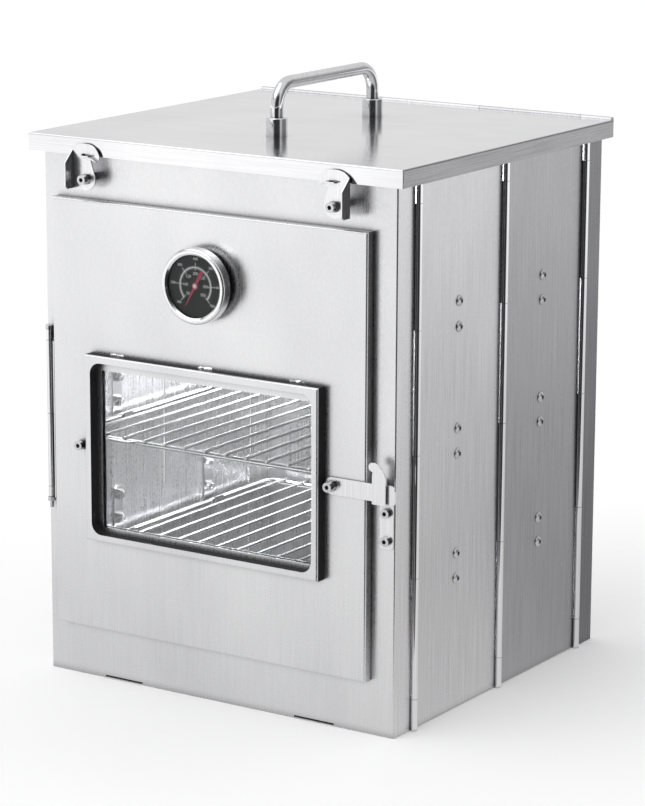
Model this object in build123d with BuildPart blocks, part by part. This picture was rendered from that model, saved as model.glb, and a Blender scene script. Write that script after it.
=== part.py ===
from build123d import *
import os
from math import cos, radians, sin

# Folding steel smoker cabinet: two shells joined by hinged side panels, a hinged lid,
# a glazed door with a drop-in latch, a dial gauge and two wire racks on hook brackets.
# Frame: +Z up, -Y is the door side, origin under the middle of the bounding box.

os.makedirs("parts", exist_ok=True)

# ---------------------------------------------------------------- cabinet
cabinet_width = 302.0
cabinet_depth = 288.0
panel_height = 400.0
sheet = 0.8
lap_gap = 0.3                       # between faces of neighbouring sheet parts
shell_rise = 3.0                    # shells stand above the side panels
front_strip = 24.0                  # front shell's side flange, to the first hinge
rear_strip = 28.0                   # back shell's side flange, from the last hinge
bend_radius = 1.5
return_flange = 12.0
panel_lift = 1.2                    # side panels stay clear of the ground
notch_width = 34.0
notch_height = 2.2
notch_spacing = 168.0

# ---------------------------------------------------------------- rolled hinges
barrel_radius = 2.5
hinge_pin_radius = 1.05
pin_clearance = 0.05
through = 5.0                       # how far a cutter runs past each face
knuckle_gap = 0.3
leaf_relief = 0.4                   # leaf edge to the neighbouring barrel
knuckle_pitch = 88.3

# ---------------------------------------------------------------- lid
lid_overhang = 8.0
lid_lip = 13.0
lid_seat_gap = 0.2
lid_barrel_rise = 0.5               # hinge axis below the lid's top face
lid_knuckle_pitch = 88.0
lid_seam = 0.5
catch_tab_width = 7.5
catch_tab_reach = 6.0

# ---------------------------------------------------------------- door
door_width = 271.0
door_height = 319.0
door_bottom = 39.9
door_center_x = -3.8
door_depth = 8.0
door_shell_gap = 0.4
opening_margin = 11.0               # door overlap on the shell's opening
opening_corner = 6.0

# ---------------------------------------------------------------- window
window_center_z = 178.6
frame_width = 202.0
frame_height = 138.4
frame_depth = 8.6
frame_band = 5.2
frame_corner = 8.5
sight_margin = 4.0                  # door sheet seen inside the frame, sides and bottom
sight_margin_top = 7.0
glass_lap = 5.0
glass_thickness = 3.0
retainer_lap = 9.0
slot_pitch = 77.8
slot_length = 12.4
slot_height = 2.4
slot_rise = 1.4                     # slot's top edge above the frame
tab_length = 10.0

# ---------------------------------------------------------------- door hinge
door_axis_inset = 6.0               # from the cabinet's left edge
door_axis_reach = 5.0               # in front of the shell's face
door_barrel_radius = 2.4
door_bolt_radius = 1.5
door_knuckle_long = 55.0
door_knuckle_short = 8.0
door_hinge_center_z = 197.0
door_leaf = 0.8
door_bolt_head = 3.0
door_bolt_tail = 5.0

# ---------------------------------------------------------------- M4 fasteners
screw_radius = 2.0
hole_clearance = 0.1
cap_head_radius = 3.4
cap_head_height = 3.2
socket_flat = 3.0
socket_floor = 0.8
button_socket = 1.2                 # depth of the recess in a button head
screw_tail = 0.5                    # screw's end beyond its nut
nut_flat = 7.0
nut_height = 3.0
button_radius = 4.0
button_height = 2.2
screw_offset = 108.3                # window and latch screws, from the door's middle

# ---------------------------------------------------------------- latch
latch_height = 12.4
latch_past_catch = 8.7              # bar's end beyond the catch's outer edge
latch_thickness = 1.3
latch_door_gap = 0.3
finger_length = 9.0
finger_height = 14.0
finger_angle = 18.0
catch_width = 11.0
catch_edge = 1.2                    # from the cabinet's right edge
catch_sheet = 1.2
catch_run_gap = 0.9                 # bar to the catch's riser
catch_foot = 35.0
catch_screw_pitch = 20.0
catch_nose_rise = 15.0
catch_screw_drop = 8.0              # top screw below the catch's shelf
catch_corner = 2.5
nose_lead = ((0.4, -6.0), (0.0, -9.0))          # from the riser's left edge and its top
nose_flank_drop = 10.0                          # where the right edge starts to curve in
nose_flank_mid = (-4.3, -2.6)
nose_peak = 2.0                                 # top point, from the left edge
nose_brow = (-2.6, -1.6)

# ---------------------------------------------------------------- lid hooks
hook_offset = 105.8
hook_drop = 16.5                    # pivot below the lid's lip
hook_sheet = 1.0
hook_lip_gap = 1.2
hook_flange = 9.0
hook_outer = 12.3
hook_inner = 8.0
slot_clearance = 0.4
slot_mouth_angle = 48.0             # where the tab's slot opens, from +X
slot_end_angle = 101.5
tab_shift = 1.25                    # tab's middle, inboard of the pivot
hook_nut_relief = 0.6
hook_shoulder = 20.5
hook_crown = ((-7.0, 24.2), (0.5, 25.4), (8.6, 22.6), (12.4, 16.6))
hook_barb = ((11.0, 12.6), (4.4, 14.0))
hook_heel = ((5.2, -6.1), (-3.5, -7.8))
hook_throat_rise = 3.0
hook_toe = 0.8
flange_step = 2.0
flange_rise = 12.0

# ---------------------------------------------------------------- handle
handle_span = 128.0
handle_rise = 42.0
handle_rod_radius = 4.75
handle_bend = 17.0
foot_radius = 7.75
foot_height = 13.5
foot_floor = 3.5
rod_clearance = 0.3
handle_pin_radius = 1.5
handle_pin_height = 8.6

# ---------------------------------------------------------------- dial gauge
gauge_z = 309.2
bezel_radius = 27.0
bezel_depth = 5.0
gauge_reach = 15.0                  # bezel's front face, ahead of the door
case_radius = 25.0
case_wall = 1.0
dial_radius = 22.5
dial_thickness = 0.6
dial_depth = 4.0                    # dial behind the bezel's front face
lens_thickness = 1.2
lens_depth = 1.0
stem_radius = 3.0
stem_length = 48.0
stem_collar_radius = 6.5
gauge_nut_flat = 14.0
gauge_nut_height = 4.0
bezel_lead = 1.6                    # depth of the rounded front edge
bezel_edge = 1.8                    # width of the rounded front edge
bezel_edge_mid = (0.6, 0.5)
bezel_land = 3.2                    # outer edge to the start of the inner slope
bezel_fit = 0.05
bezel_skirt = 3.0                   # skirt behind the bezel's own depth
bezel_case_fit = 0.1
case_tail = 6.0                     # case behind the bezel
case_rounding = 2.5
needle_shaft_radius = 0.6
needle_hub_radius = 2.6
needle_thickness = 0.5
needle_tip = 17.0
needle_tail = 12.0
needle_rest_angle = 241.0           # tip direction seen from the front, from +X

# ---------------------------------------------------------------- racks and brackets
rack_wire_radius = 2.0
grid_wire_radius = 1.1
grid_pitch = 18.0
grid_count = 15
grid_weld = 0.6
grid_nub = 2.5
rack_corner = 10.0
rack_front_gap = 12.0
rack_rear_gap = 12.0
bracket_width = 11.0
bracket_sheet = 1.2
bracket_front_y = 82.0
bracket_rear_y = 200.5
bracket_pitch = 91.7
bracket_lowest = 107.0              # middle of the lowest bracket's screw pair
screw_pair = 18.5
bracket_above = 6.0
bracket_below = 13.5
hook_lip_height = 6.5
dome_height = 5.2
dome_radius = 3.0
dome_rounding = 1.8

# ---------------------------------------------------------------- floor tray
tray_rim = 8.0
tray_gap = 0.5

# ---------------------------------------------------------------- derived planes
half_width = cabinet_width / 2
shell_height = panel_height + shell_rise
barrel_reach = 2 * barrel_radius - sheet
gauge_front_reach = door_depth + gauge_reach
y_front = -(cabinet_depth + barrel_reach - gauge_front_reach) / 2
y_back = y_front + cabinet_depth
hinge_x = half_width - sheet + barrel_radius
hinge_y = (
    y_front + front_strip,
    (2 * y_front + front_strip + cabinet_depth - rear_strip) / 2,
    y_back - rear_strip,
)
bore_radius = hinge_pin_radius + pin_clearance
leaf_cut = barrel_radius + leaf_relief
lid_bottom_face = shell_height + lid_seat_gap
lid_top = lid_bottom_face + sheet
lip_bottom = lid_top - lid_lip
lid_front = y_front - lid_overhang
lid_half_width = half_width + lid_overhang
lid_axis_y = y_back - sheet + barrel_radius
lid_axis_z = lid_top - lid_barrel_rise
door_x0 = door_center_x - door_width / 2
door_x1 = door_center_x + door_width / 2
door_top = door_bottom + door_height
door_face = y_front - door_depth
hole_radius = screw_radius + hole_clearance
pivot_radius = screw_radius + pin_clearance
catch_center_x = half_width - catch_edge - catch_width / 2
latch_x = door_center_x + screw_offset
latch_z = window_center_z
latch_length = catch_center_x + catch_width / 2 + latch_past_catch - latch_x
catch_shelf_top = latch_z - latch_height / 2 - lap_gap
catch_top_screw_z = catch_shelf_top - catch_sheet - catch_screw_drop
catch_screw_z = (catch_top_screw_z, catch_top_screw_z - catch_screw_pitch)


def block(x0, x1, y0, y1, z0, z1, mode=Mode.ADD):
    """Box between two corners, in the current part."""
    with Locations(((x0 + x1) / 2, (y0 + y1) / 2, (z0 + z1) / 2)):
        Box(abs(x1 - x0), abs(y1 - y0), abs(z1 - z0), mode=mode)


def rod_x(x0, x1, y, z, radius, mode=Mode.ADD):
    with Locations(((x0 + x1) / 2, y, z)):
        Cylinder(radius, abs(x1 - x0), rotation=(0, 90, 0), mode=mode)


def rod_y(x, y0, y1, z, radius, mode=Mode.ADD):
    with Locations((x, (y0 + y1) / 2, z)):
        Cylinder(radius, abs(y1 - y0), rotation=(90, 0, 0), mode=mode)


def rod_z(x, y, z0, z1, radius, mode=Mode.ADD):
    with Locations((x, y, (z0 + z1) / 2)):
        Cylinder(radius, abs(z1 - z0), mode=mode)


def hex_y(x, y0, y1, z, flat, mode=Mode.ADD):
    """Hexagonal prism along Y between y0 and y1."""
    with BuildSketch(Plane.XZ.offset(-max(y0, y1))) as outline:
        with Locations((x, z)):
            RegularPolygon(flat / 2, 6, major_radius=False)
    extrude(outline.sketch, amount=abs(y1 - y0), mode=mode)


def save(part, name):
    part.part.label = name
    export_step(part.part, "parts/" + name + ".step")


def knuckle_spans(length, pitch, count):
    """Start and end of each knuckle: equal long ones between two short end ones."""
    end = (length - pitch * (count - 2)) / 2
    marks = [0.0] + [end + pitch * k for k in range(count - 1)] + [length]
    return [(a + knuckle_gap / 2, b - knuckle_gap / 2) for a, b in zip(marks, marks[1:])]


side_spans = knuckle_spans(panel_height, knuckle_pitch, 6)
lid_hinge_half = lid_half_width - sheet - lap_gap
lid_spans = [
    (a - lid_hinge_half, b - lid_hinge_half)
    for a, b in knuckle_spans(2 * lid_hinge_half, lid_knuckle_pitch, 5)
]


def side_knuckles(side, axis_y, toward, spans):
    """Rolled knuckles on one upright edge; toward is +1 when the leaf lies at larger Y."""
    x = side * hinge_x
    for z0, z1 in spans:
        block(side * (half_width - sheet), side * half_width,
              axis_y, axis_y + toward * leaf_cut, z0, z1)
        rod_z(x, axis_y, z0, z1, barrel_radius)
    rod_z(x, axis_y, -1, panel_height + 1, bore_radius, mode=Mode.SUBTRACT)


def upright_shell(y_wall, inward, flange_end, parity):
    """Wall with two side flanges, a top and a bottom return and its hinge knuckles."""
    y_inner = y_wall + inward * sheet
    with BuildSketch(Plane.XY) as outline:
        with BuildLine():
            FilletPolyline(
                (-half_width, flange_end - inward * leaf_cut),
                (-half_width, y_wall),
                (half_width, y_wall),
                (half_width, flange_end - inward * leaf_cut),
                radius=bend_radius,
            )
            offset(amount=sheet, side=Side.LEFT if inward > 0 else Side.RIGHT)
        make_face()
    extrude(outline.sketch, amount=shell_height)
    reach = half_width - sheet - bend_radius
    for z0 in (0, shell_height - sheet):
        block(-reach, reach, y_wall + inward * sheet / 2, y_inner + inward * return_flange,
              z0, z0 + sheet)
    for side in (-1, 1):
        side_knuckles(side, flange_end, -inward, side_spans[parity::2])


# ---------------------------------------------------------------- shells
with BuildPart() as front_shell:
    upright_shell(y_front, 1, hinge_y[0], 0)
    with BuildSketch(Plane.XZ.offset(-y_front - 2 * sheet)):
        with Locations((door_center_x, door_bottom + door_height / 2)):
            RectangleRounded(door_width - 2 * opening_margin, door_height - 2 * opening_margin,
                             opening_corner)
    extrude(amount=4 * sheet, mode=Mode.SUBTRACT)
    for side in (-1, 1):
        middle = side * notch_spacing / 2
        block(middle - notch_width / 2, middle + notch_width / 2, y_front - 1,
              y_front + sheet + return_flange + 1, -1, notch_height, mode=Mode.SUBTRACT)
        rod_y(side * hook_offset, y_front - through, y_front + through,
              lip_bottom - hook_drop, hole_radius, mode=Mode.SUBTRACT)
    for z in catch_screw_z:
        rod_y(catch_center_x, y_front - through, y_front + through, z, hole_radius,
              mode=Mode.SUBTRACT)
save(front_shell, "front_shell")

with BuildPart() as back_shell:
    upright_shell(y_back, -1, hinge_y[2], 1)
    for x0, x1 in lid_spans[0::2]:
        block(x0 - knuckle_gap, x1 + knuckle_gap, lid_axis_y - leaf_cut, y_back + 1,
              lid_axis_z - leaf_cut, shell_height + 1, mode=Mode.SUBTRACT)
    for x0, x1 in lid_spans[1::2]:
        block(x0, x1, y_back - sheet, y_back, shell_height - 2 * sheet, lid_axis_z)
        rod_x(x0, x1, lid_axis_y, lid_axis_z, barrel_radius)
    rod_x(-lid_half_width, lid_half_width, lid_axis_y, lid_axis_z, bore_radius,
          mode=Mode.SUBTRACT)
save(back_shell, "back_shell")

# ---------------------------------------------------------------- side panels
level_z = [bracket_lowest + bracket_pitch * k for k in range(3)]
screw_z = [z + s * screw_pair / 2 for z in level_z for s in (-1, 1)]
column_y = (y_front + bracket_front_y, y_front + bracket_rear_y)
panel_names = ("front", "rear")
for side, side_name in ((1, "right"), (-1, "left")):
    for k in range(2):
        with BuildPart() as side_panel:
            block(side * (half_width - sheet), side * half_width,
                  hinge_y[k] + leaf_cut, hinge_y[k + 1] - leaf_cut,
                  panel_lift, panel_height - panel_lift)
            side_knuckles(side, hinge_y[k], 1, side_spans[1::2])
            side_knuckles(side, hinge_y[k + 1], -1, side_spans[0::2])
            for z in screw_z:
                rod_x(side * (half_width - through), side * (half_width + through),
                      column_y[k], z, hole_radius, mode=Mode.SUBTRACT)
        save(side_panel, side_name + "_" + panel_names[k] + "_panel")
    for k, place in enumerate(("front", "middle", "rear")):
        with BuildPart() as hinge_pin:
            rod_z(side * hinge_x, hinge_y[k], lap_gap, panel_height - lap_gap, hinge_pin_radius)
            fillet(hinge_pin.edges().filter_by(GeomType.CIRCLE), hinge_pin_radius / 3)
        save(hinge_pin, side_name + "_" + place + "_hinge_pin")

# ---------------------------------------------------------------- floor tray
tray_z = sheet + lap_gap / 3
with BuildPart() as floor_tray:
    tray_x = half_width - sheet - tray_gap
    tray_y0 = y_front + sheet + tray_gap
    tray_y1 = y_back - sheet - tray_gap
    block(-tray_x, tray_x, tray_y0, tray_y1, tray_z, tray_z + tray_rim)
    block(-tray_x + sheet, tray_x - sheet, tray_y0 + sheet, tray_y1 - sheet,
          tray_z + sheet, tray_z + tray_rim + 1, mode=Mode.SUBTRACT)
    for side in (-1, 1):
        middle = side * notch_spacing / 2
        tab = notch_width / 2 - 2 * lap_gap
        block(middle - tab, middle + tab, y_front + lap_gap, tray_y0 + sheet,
              tray_z, tray_z + sheet)
save(floor_tray, "floor_tray")

# ---------------------------------------------------------------- rack brackets
inner_face = half_width - sheet
rail_x = inner_face - bracket_sheet - dome_height - lap_gap - rack_wire_radius
hook_x = rail_x - rack_wire_radius - lap_gap - bracket_sheet
for side, side_name in ((1, "right"), (-1, "left")):
    for y, place in zip(column_y, ("front", "rear")):
        for z, level in zip(level_z, ("lower", "middle", "upper")):
            bottom = z - screw_pair / 2 - bracket_below
            top = z + screw_pair / 2 + bracket_above
            with BuildPart() as bracket:
                with BuildSketch(Plane.XZ.offset(-y - bracket_width / 2)):
                    with BuildLine():
                        FilletPolyline(
                            (side * inner_face, top),
                            (side * inner_face, bottom),
                            (side * hook_x, bottom),
                            (side * hook_x, bottom + hook_lip_height),
                            radius=bend_radius + 0.5,
                        )
                        offset(amount=bracket_sheet, side=Side.RIGHT if side > 0 else Side.LEFT)
                    make_face()
                extrude(amount=bracket_width)
                for s in (-1, 1):
                    rod_x(side * (inner_face - through), side * (inner_face + through), y,
                          z + s * screw_pair / 2, hole_radius, mode=Mode.SUBTRACT)
            save(bracket, "_".join((side_name, place, level, "bracket")))

nut_face = inner_face - bracket_sheet
with BuildPart() as bracket_screws:
    for side in (-1, 1):
        for y in column_y:
            for z in screw_z:
                rod_x(side * (nut_face - nut_height + lap_gap), side * half_width, y, z,
                      screw_radius)
                with BuildSketch(Plane.XY.offset(z)):
                    with BuildLine():
                        outer = (side * (half_width + button_height), y)
                        rim = (side * half_width, y + button_radius)
                        shoulder = (side * (half_width + 0.5), y + button_radius)
                        ThreePointArc(outer, (side * (half_width + 1.75), y + 0.6 * button_radius),
                                      shoulder)
                        Polyline(shoulder, rim, (side * half_width, y), outer)
                    make_face()
                revolve(axis=Axis((0, y, z), (1, 0, 0)))
    for side in (-1, 1):
        for y in column_y:
            for z in screw_z:
                with BuildSketch(Plane.YZ.offset(side * (half_width + button_height + 1))):
                    with Locations((y, z)):
                        RegularPolygon(socket_flat / 2, 6, major_radius=False)
                extrude(amount=-side * (1 + button_socket), mode=Mode.SUBTRACT)
save(bracket_screws, "bracket_screws")

dome_end = nut_face - dome_height
with BuildPart() as bracket_nuts:
    for side in (-1, 1):
        for y in column_y:
            for z in screw_z:
                with BuildSketch(Plane.YZ.offset(side * nut_face)):
                    with Locations((y, z)):
                        RegularPolygon(nut_flat / 2, 6, major_radius=False)
                        Circle(hole_radius, mode=Mode.SUBTRACT)
                extrude(amount=-side * nut_height)
                rod_x(side * dome_end, side * (nut_face - nut_height), y, z, dome_radius)
    tips = bracket_nuts.edges().filter_by(GeomType.CIRCLE)
    fillet([tip for tip in tips if abs(abs(tip.center().X) - dome_end) < 0.01], dome_rounding)
save(bracket_nuts, "bracket_nuts")

# ---------------------------------------------------------------- racks
rack_y0 = y_front + sheet + rack_front_gap
rack_y1 = y_back - sheet - rack_rear_gap
for z, name in ((level_z[1], "upper_rack"), (level_z[0], "lower_rack")):
    hook_floor = z - screw_pair / 2 - bracket_below + bracket_sheet
    rail_z = hook_floor + lap_gap + rack_wire_radius
    grid_z = rail_z + rack_wire_radius + grid_wire_radius - grid_weld
    with BuildPart() as rack:
        with BuildLine(Plane.XY.offset(rail_z)) as loop:
            FilletPolyline((-rail_x, rack_y0), (rail_x, rack_y0), (rail_x, rack_y1),
                           (-rail_x, rack_y1), close=True, radius=rack_corner)
        with BuildSketch(Plane(origin=loop.wire() @ 0, z_dir=loop.wire() % 0)):
            Circle(rack_wire_radius)
        sweep()
        for k in range(grid_count):
            x = (k - (grid_count - 1) / 2) * grid_pitch
            rod_y(x, rack_y0 - grid_nub, rack_y1 + grid_nub, grid_z, grid_wire_radius)
    save(rack, name)

# ---------------------------------------------------------------- door
door_middle_z = door_bottom + door_height / 2
sight_width = frame_width - 2 * (frame_band + sight_margin)
sight_height = frame_height - 2 * frame_band - sight_margin - sight_margin_top
sight_z = window_center_z + (sight_margin - sight_margin_top) / 2
with BuildPart() as door_panel:
    block(door_x0, door_x1, door_face, y_front - door_shell_gap, door_bottom, door_top)
    fillet(door_panel.faces().sort_by(Axis.Y)[0].edges(), bend_radius)
    offset(amount=-sheet, openings=door_panel.faces().sort_by(Axis.Y)[-1])
    with BuildSketch(Plane.XZ.offset(-door_face - 2 * sheet)):
        with Locations((door_center_x, sight_z)):
            Rectangle(sight_width, sight_height)
        with Locations((door_center_x, gauge_z)):
            Circle(stem_radius + 2 * hole_clearance)
        with Locations((door_center_x - screw_offset, window_center_z), (latch_x, latch_z)):
            Circle(hole_radius)
        for k in (-1, 0, 1):
            with Locations((door_center_x + k * slot_pitch,
                            window_center_z + frame_height / 2 + slot_rise - slot_height / 2)):
                Rectangle(slot_length, slot_height)
    extrude(amount=4 * sheet, mode=Mode.SUBTRACT)
save(door_panel, "door_panel")

frame_front = door_face - frame_depth
with BuildPart() as window_frame:
    block(door_center_x - frame_width / 2, door_center_x + frame_width / 2, frame_front, door_face,
          window_center_z - frame_height / 2, window_center_z + frame_height / 2)
    fillet(window_frame.faces().sort_by(Axis.Y)[0].edges(), bend_radius)
    offset(amount=-sheet, openings=window_frame.faces().sort_by(Axis.Y)[-1])
    inner_width = frame_width - 2 * frame_band
    inner_height = frame_height - 2 * frame_band
    with BuildSketch(Plane.XZ.offset(-door_face)):
        with Locations((door_center_x, window_center_z)):
            RectangleRounded(inner_width + 2 * sheet, inner_height + 2 * sheet,
                             frame_corner + sheet)
            RectangleRounded(inner_width, inner_height, frame_corner, mode=Mode.SUBTRACT)
    extrude(amount=frame_depth - sheet / 2)
    with BuildSketch(Plane.XZ.offset(-door_face)):
        with Locations((door_center_x, window_center_z)):
            RectangleRounded(inner_width, inner_height, frame_corner)
    extrude(amount=frame_depth + 1, mode=Mode.SUBTRACT)
    top = window_center_z + frame_height / 2
    for k in (-1, 0, 1):
        x = door_center_x + k * slot_pitch
        block(x - tab_length / 2, x + tab_length / 2, door_face - sheet, door_face + 2 * sheet,
              top - sheet, top)
save(window_frame, "window_frame")

glass_front = door_face + sheet + lap_gap / 3
with BuildPart() as window_glass:
    with BuildSketch(Plane.XZ.offset(-glass_front - glass_thickness)):
        with Locations((door_center_x, sight_z)):
            Rectangle(sight_width + 2 * glass_lap, sight_height + 2 * glass_lap)
    extrude(amount=glass_thickness)
    chamfer(window_glass.edges().filter_by(Axis.Y), 1.5)
save(window_glass, "window_glass")

retainer_front = glass_front + glass_thickness + lap_gap / 3
with BuildPart() as glass_retainer:
    with BuildSketch(Plane.XZ.offset(-retainer_front - sheet)):
        with Locations((door_center_x, sight_z)):
            RectangleRounded(sight_width + 2 * retainer_lap, sight_height + 2 * retainer_lap, 3)
        with Locations((door_center_x, window_center_z)):
            RectangleRounded(2 * (screw_offset + 7), 16, 5)
        with Locations((door_center_x, sight_z)):
            Rectangle(sight_width, sight_height, mode=Mode.SUBTRACT)
        with Locations((door_center_x - screw_offset, window_center_z), (latch_x, latch_z)):
            Circle(hole_radius, mode=Mode.SUBTRACT)
    extrude(amount=sheet)
save(glass_retainer, "glass_retainer")

# ---------------------------------------------------------------- latch
bar_back = door_face - latch_door_gap
bar_front = bar_back - latch_thickness
latch_nut_back = bar_front - lap_gap
with BuildPart() as latch_bar:
    finger_x = latch_x + latch_length - finger_length
    with BuildSketch(Plane.XZ.offset(-bar_back)):
        with Locations((latch_x, latch_z)):
            Circle(latch_height / 2)
        with Locations(((latch_x + finger_x) / 2, latch_z)):
            Rectangle(finger_x - latch_x, latch_height)
        with Locations((latch_x, latch_z)):
            Circle(pivot_radius, mode=Mode.SUBTRACT)
    extrude(amount=latch_thickness)
    finger_plane = Plane(
        origin=(finger_x - 0.4, bar_back, latch_z),
        x_dir=(cos(radians(finger_angle)), -sin(radians(finger_angle)), 0),
        z_dir=(-sin(radians(finger_angle)), -cos(radians(finger_angle)), 0),
    )
    with BuildSketch(finger_plane):
        with Locations((finger_length / 2, 0)):
            RectangleRounded(finger_length + 1.2, finger_height, 4)
        with Locations((finger_length / 4, 0)):
            Rectangle(finger_length / 2, latch_height)
    extrude(amount=latch_thickness)
save(latch_bar, "latch_bar")

riser_back = bar_front - catch_run_gap
riser_front = riser_back - catch_sheet
catch_x0 = catch_center_x - catch_width / 2
catch_x1 = catch_center_x + catch_width / 2
shelf_bottom = catch_shelf_top - catch_sheet
with BuildPart() as latch_catch:
    with BuildSketch(Plane.XZ.offset(-y_front)):
        with Locations((catch_center_x, catch_shelf_top - catch_foot / 2)):
            RectangleRounded(catch_width, catch_foot, catch_corner)
    extrude(amount=catch_sheet)
    block(catch_x0, catch_x1, riser_front, y_front, shelf_bottom, catch_shelf_top)
    nose_top = latch_z + latch_height / 2 + catch_nose_rise
    with BuildSketch(Plane.XZ.offset(-riser_back)):
        with BuildLine():
            lead, throat = [(catch_x0 + x, nose_top + z) for x, z in nose_lead]
            flank = (catch_x1, nose_top - nose_flank_drop)
            peak = (catch_x0 + nose_peak, nose_top)
            Polyline(lead, throat, (catch_x0, shelf_bottom), (catch_x1, shelf_bottom), flank)
            ThreePointArc(flank, (catch_x1 + nose_flank_mid[0], nose_top + nose_flank_mid[1]), peak)
            ThreePointArc(peak, (catch_x0 + nose_brow[0], nose_top + nose_brow[1]), lead)
        make_face()
    extrude(amount=catch_sheet)
    for z in catch_screw_z:
        rod_y(catch_center_x, y_front - through, y_front + through, z, hole_radius,
              mode=Mode.SUBTRACT)
save(latch_catch, "latch_catch")


def cap_screw(x, z, head_back, tip):
    """Socket head screw along Y: head in front, tip at larger Y."""
    rod_y(x, head_back, tip, z, screw_radius)
    rod_y(x, head_back - cap_head_height, head_back, z, cap_head_radius)
    hex_y(x, head_back - cap_head_height - 1, head_back - socket_floor, z, socket_flat,
          mode=Mode.SUBTRACT)


def hex_nut(x, z, y0):
    """Plain nut along Y from y0 towards larger Y."""
    hex_y(x, y0, y0 + nut_height, z, nut_flat)
    rod_y(x, y0 - 1, y0 + nut_height + 1, z, hole_radius, mode=Mode.SUBTRACT)


retainer_back = retainer_front + sheet
window_screw_x = door_center_x - screw_offset
latch_head_back = latch_nut_back - nut_height
with BuildPart() as door_screws:
    cap_screw(latch_x, latch_z, latch_head_back, retainer_back + nut_height + screw_tail)
    cap_screw(window_screw_x, window_center_z, latch_head_back + latch_door_gap,
              retainer_back + nut_height + screw_tail)
save(door_screws, "door_screws")

with BuildPart() as door_nuts:
    hex_nut(latch_x, latch_z, latch_head_back)
    hex_nut(latch_x, latch_z, retainer_back)
    hex_nut(window_screw_x, window_center_z, door_face - nut_height)
    hex_nut(window_screw_x, window_center_z, retainer_back)
save(door_nuts, "door_nuts")

catch_head_back = y_front - catch_sheet
with BuildPart() as catch_screws:
    for z in catch_screw_z:
        cap_screw(catch_center_x, z, catch_head_back, y_front + sheet + nut_height + screw_tail)
save(catch_screws, "catch_screws")

# ---------------------------------------------------------------- door hinge
door_axis_x = -half_width + door_axis_inset
door_axis_y = y_front - door_axis_reach
hinge_marks = [door_hinge_center_z + d for d in (
    -door_knuckle_long - door_knuckle_short, -door_knuckle_long, 0, door_knuckle_long,
    door_knuckle_long + door_knuckle_short)]
door_hinge_spans = [
    (a + knuckle_gap / 2, b - knuckle_gap / 2) for a, b in zip(hinge_marks, hinge_marks[1:])
]
with BuildPart() as door_hinge_frame_leaf:
    web_x = door_axis_x - door_barrel_radius
    for z0, z1 in door_hinge_spans[1::2]:
        rod_z(door_axis_x, door_axis_y, z0, z1, door_barrel_radius)
        block(web_x, web_x + door_leaf, door_axis_y, y_front, z0, z1)
    block(-half_width + 0.4, web_x + door_leaf, y_front - door_leaf, y_front,
          hinge_marks[1], hinge_marks[-1])
    rod_z(door_axis_x, door_axis_y, hinge_marks[0] - 1, hinge_marks[-1] + 1,
          door_bolt_radius + pin_clearance, mode=Mode.SUBTRACT)
save(door_hinge_frame_leaf, "door_hinge_frame_leaf")

with BuildPart() as door_hinge_door_leaf:
    leaf_back = door_axis_y + door_barrel_radius
    for z0, z1 in door_hinge_spans[0::2]:
        rod_z(door_axis_x, door_axis_y, z0, z1, door_barrel_radius)
        block(door_axis_x, door_x0, leaf_back - door_leaf, leaf_back, z0, z1)
    block(door_x0 - door_leaf, door_x0, door_axis_y - door_barrel_radius, leaf_back,
          hinge_marks[0], hinge_marks[-2])
    rod_z(door_axis_x, door_axis_y, hinge_marks[0] - 1, hinge_marks[-1] + 1,
          door_bolt_radius + pin_clearance, mode=Mode.SUBTRACT)
save(door_hinge_door_leaf, "door_hinge_door_leaf")

bolt_nut_top = hinge_marks[0] - lap_gap
with BuildPart() as door_hinge_bolt:
    head_z = hinge_marks[-1] + lap_gap
    rod_z(door_axis_x, door_axis_y, bolt_nut_top - nut_height - door_bolt_tail, head_z,
          door_bolt_radius)
    rod_z(door_axis_x, door_axis_y, head_z, head_z + door_bolt_head, door_barrel_radius + 0.5)
    fillet(door_hinge_bolt.faces().sort_by(Axis.Z)[-1].edges(), 0.6)
save(door_hinge_bolt, "door_hinge_bolt")

with BuildPart() as door_hinge_nut:
    with BuildSketch(Plane.XY.offset(bolt_nut_top - nut_height)):
        with Locations((door_axis_x, door_axis_y)):
            RegularPolygon(door_barrel_radius + 0.3, 6, major_radius=False)
            Circle(door_bolt_radius + pin_clearance, mode=Mode.SUBTRACT)
    extrude(amount=nut_height)
save(door_hinge_nut, "door_hinge_nut")

# ---------------------------------------------------------------- dial gauge
gauge_axis = Axis((door_center_x, 0, gauge_z), (0, 1, 0))
bezel_front = door_face - gauge_reach
dial_front = bezel_front + dial_depth
case_back = bezel_front + bezel_depth + case_tail
lens_front = bezel_front + lens_depth
with BuildPart() as gauge_case:
    rod_y(door_center_x, dial_front + dial_thickness, case_back, gauge_z, case_radius)
    fillet(gauge_case.faces().sort_by(Axis.Y)[-1].edges(), case_rounding)
    rod_y(door_center_x, dial_front + dial_thickness - 1, case_back - case_wall, gauge_z,
          case_radius - case_wall, mode=Mode.SUBTRACT)
    rod_y(door_center_x, case_back - through, case_back + through, gauge_z,
          stem_radius + hole_clearance, mode=Mode.SUBTRACT)
save(gauge_case, "gauge_case")

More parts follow.
